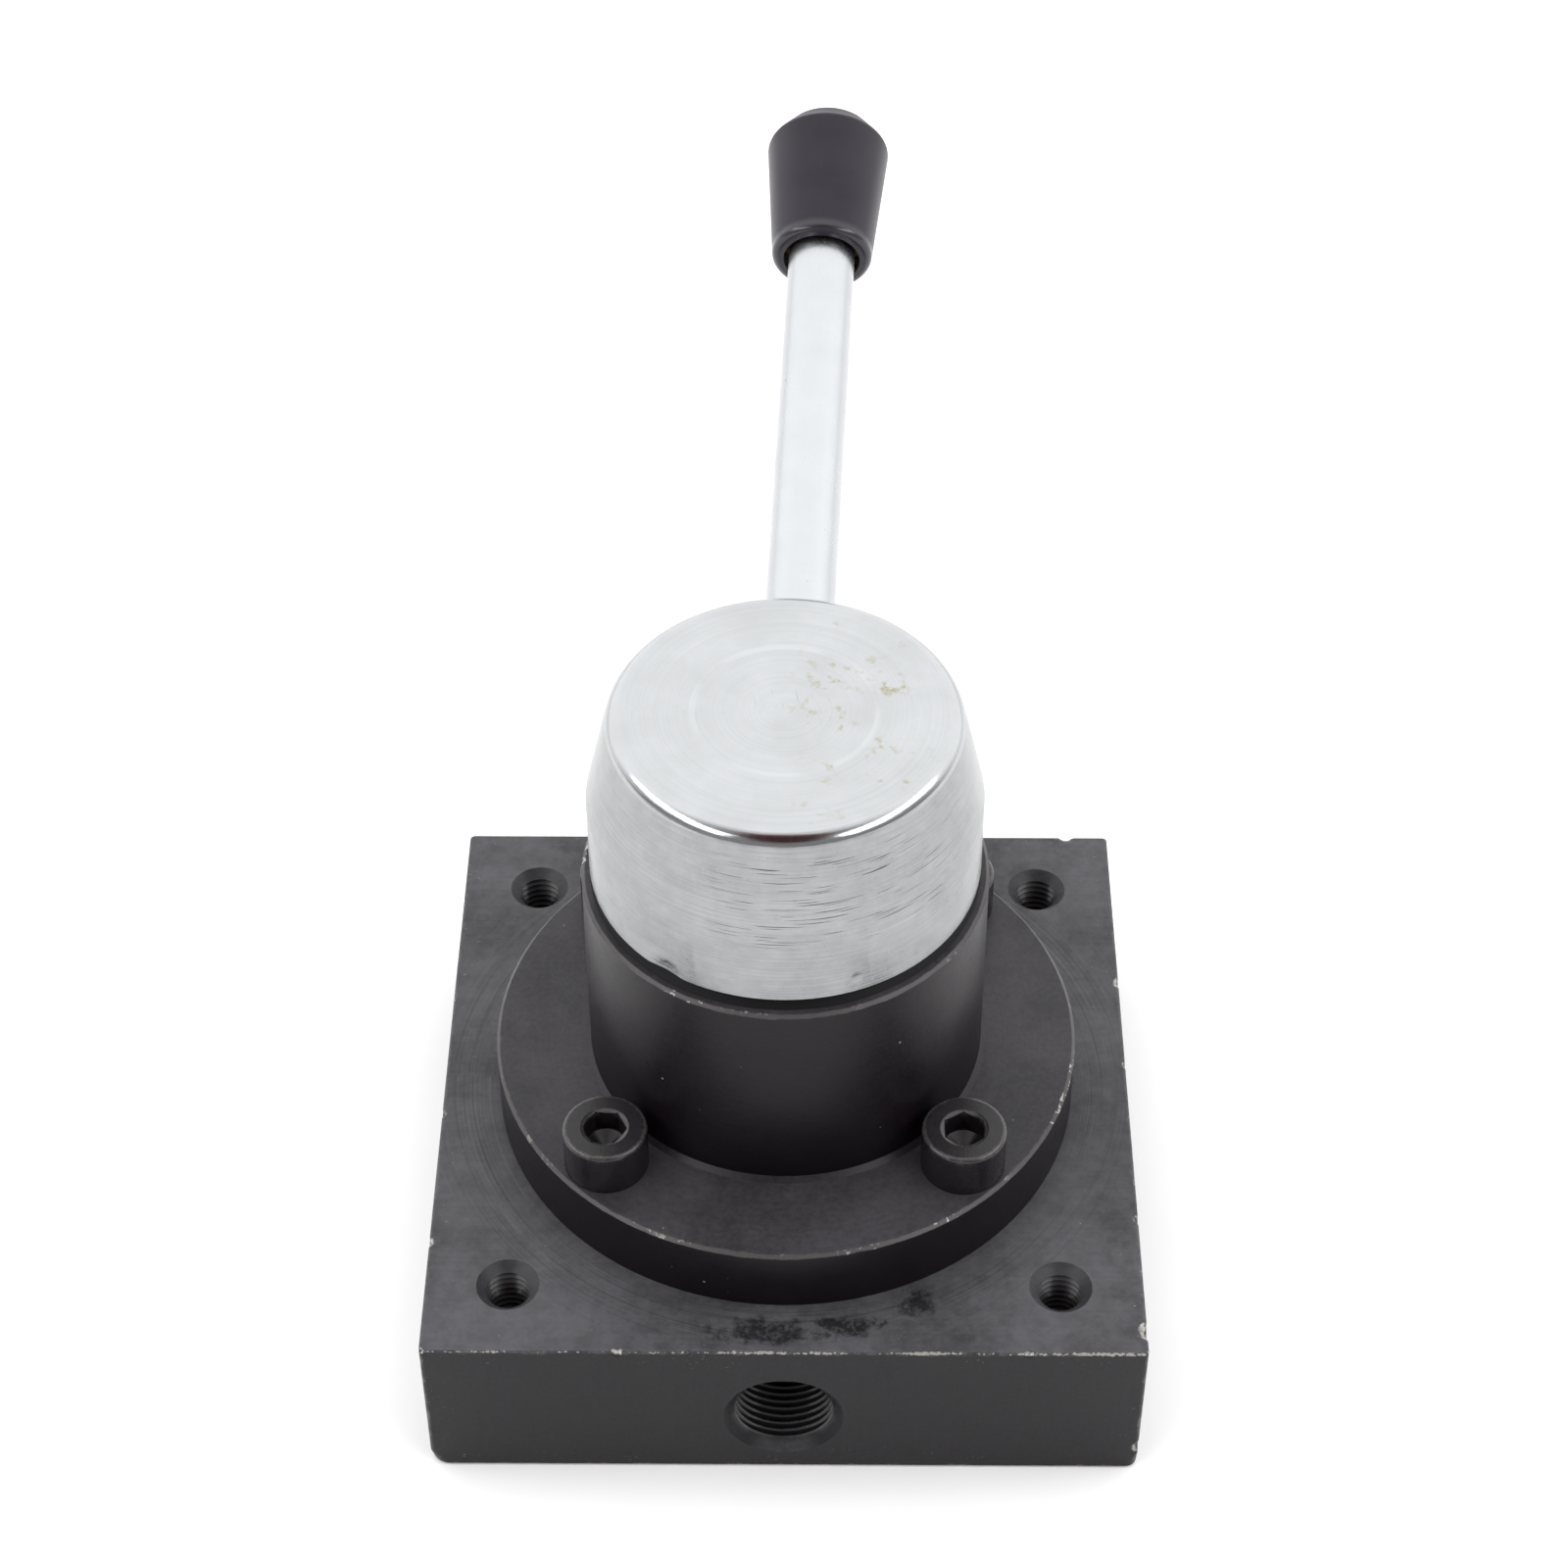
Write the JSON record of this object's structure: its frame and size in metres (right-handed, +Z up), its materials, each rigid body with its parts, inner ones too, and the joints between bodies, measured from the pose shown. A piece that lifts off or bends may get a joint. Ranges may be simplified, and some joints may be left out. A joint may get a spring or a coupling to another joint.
{
  "type": "hand-operated rotary directional valve",
  "caption": "Square steel monoblock hydraulic valve with side ports, a bolted round bonnet, a bright turned cap and a radial hand lever with a tapered black knob.",
  "frame": {"origin": "centre of the block's underside, on the axis that the lever turns about", "axes": "+Z up along the valve axis, +Y towards the knob in the middle position, +X to the right as seen from the pressure port"},
  "size_m": [0.11, 0.1927, 0.1271],
  "materials": {
    "black_oxide_steel": "black-oxided milled and turned steel, satin with a trace of oil",
    "black_oxide_bolt": "black-oxided alloy steel, cold forged and rolled",
    "zinc_plated_steel": "bright zinc plate over turned steel",
    "knob_plastic": "satin phenolic moulding",
    "hardened_steel": "hardened, ground and lapped",
    "bearing_steel": "polished bearing steel",
    "bronze": "turned bearing bronze",
    "brass": "turned and knurled brass",
    "spring_steel": "blued spring steel",
    "nitrile_rubber": "moulded nitrile rubber, matt",
    "ptfe": "white PTFE"
  },
  "bodies": {
    "housing": {"valve_body": "black_oxide_steel", "bonnet": "black_oxide_steel", "bonnet_screws": "black_oxide_bolt", "bonnet_o_ring": "nitrile_rubber", "seal_sleeves": "hardened_steel", "sleeve_o_rings": "nitrile_rubber", "sleeve_springs": "spring_steel", "thrust_race_upper": "bearing_steel", "spindle_bush": "bronze", "detent_plate": "hardened_steel", "plate_screws": "black_oxide_bolt", "stop_pin": "hardened_steel"},
    "handle": {"cap": "zinc_plated_steel", "lever_rod": "zinc_plated_steel", "knob": "knob_plastic", "knob_insert": "brass", "spindle": "hardened_steel", "drive_key": "hardened_steel", "rotor": "hardened_steel", "thrust_race_lower": "bearing_steel", "spindle_o_rings": "nitrile_rubber", "backup_rings": "ptfe", "spindle_washer": "hardened_steel", "retaining_ring": "spring_steel", "dust_seal": "nitrile_rubber", "detent_spring": "spring_steel"},
    "bearing_cage": {"thrust_cage": "brass", "thrust_balls": "bearing_steel"},
    "ball": {"detent_ball": "bearing_steel"}
  },
  "joints": [
    {"name": "handle_turn", "type": "hinge", "parent": "housing", "child": "handle", "pos_m": [0, 0, 0.0796], "axis": [0, 0, 1], "range_deg": [-45, 45]},
    {"name": "cage_turn", "type": "hinge", "parent": "housing", "child": "bearing_cage", "pos_m": [0, 0, 0.043], "axis": [0, 0, 1], "range_deg": [-22.5, 22.5]},
    {"name": "ball_drop", "type": "slide", "parent": "handle", "child": "ball", "axis": [0, 0, -1], "range_m": [0, 0.0012], "deforming": ["detent_spring"]}
  ],
  "couplings": [
    {"joint": "cage_turn", "follows": "handle_turn", "ratio": 0.5}
  ]
}
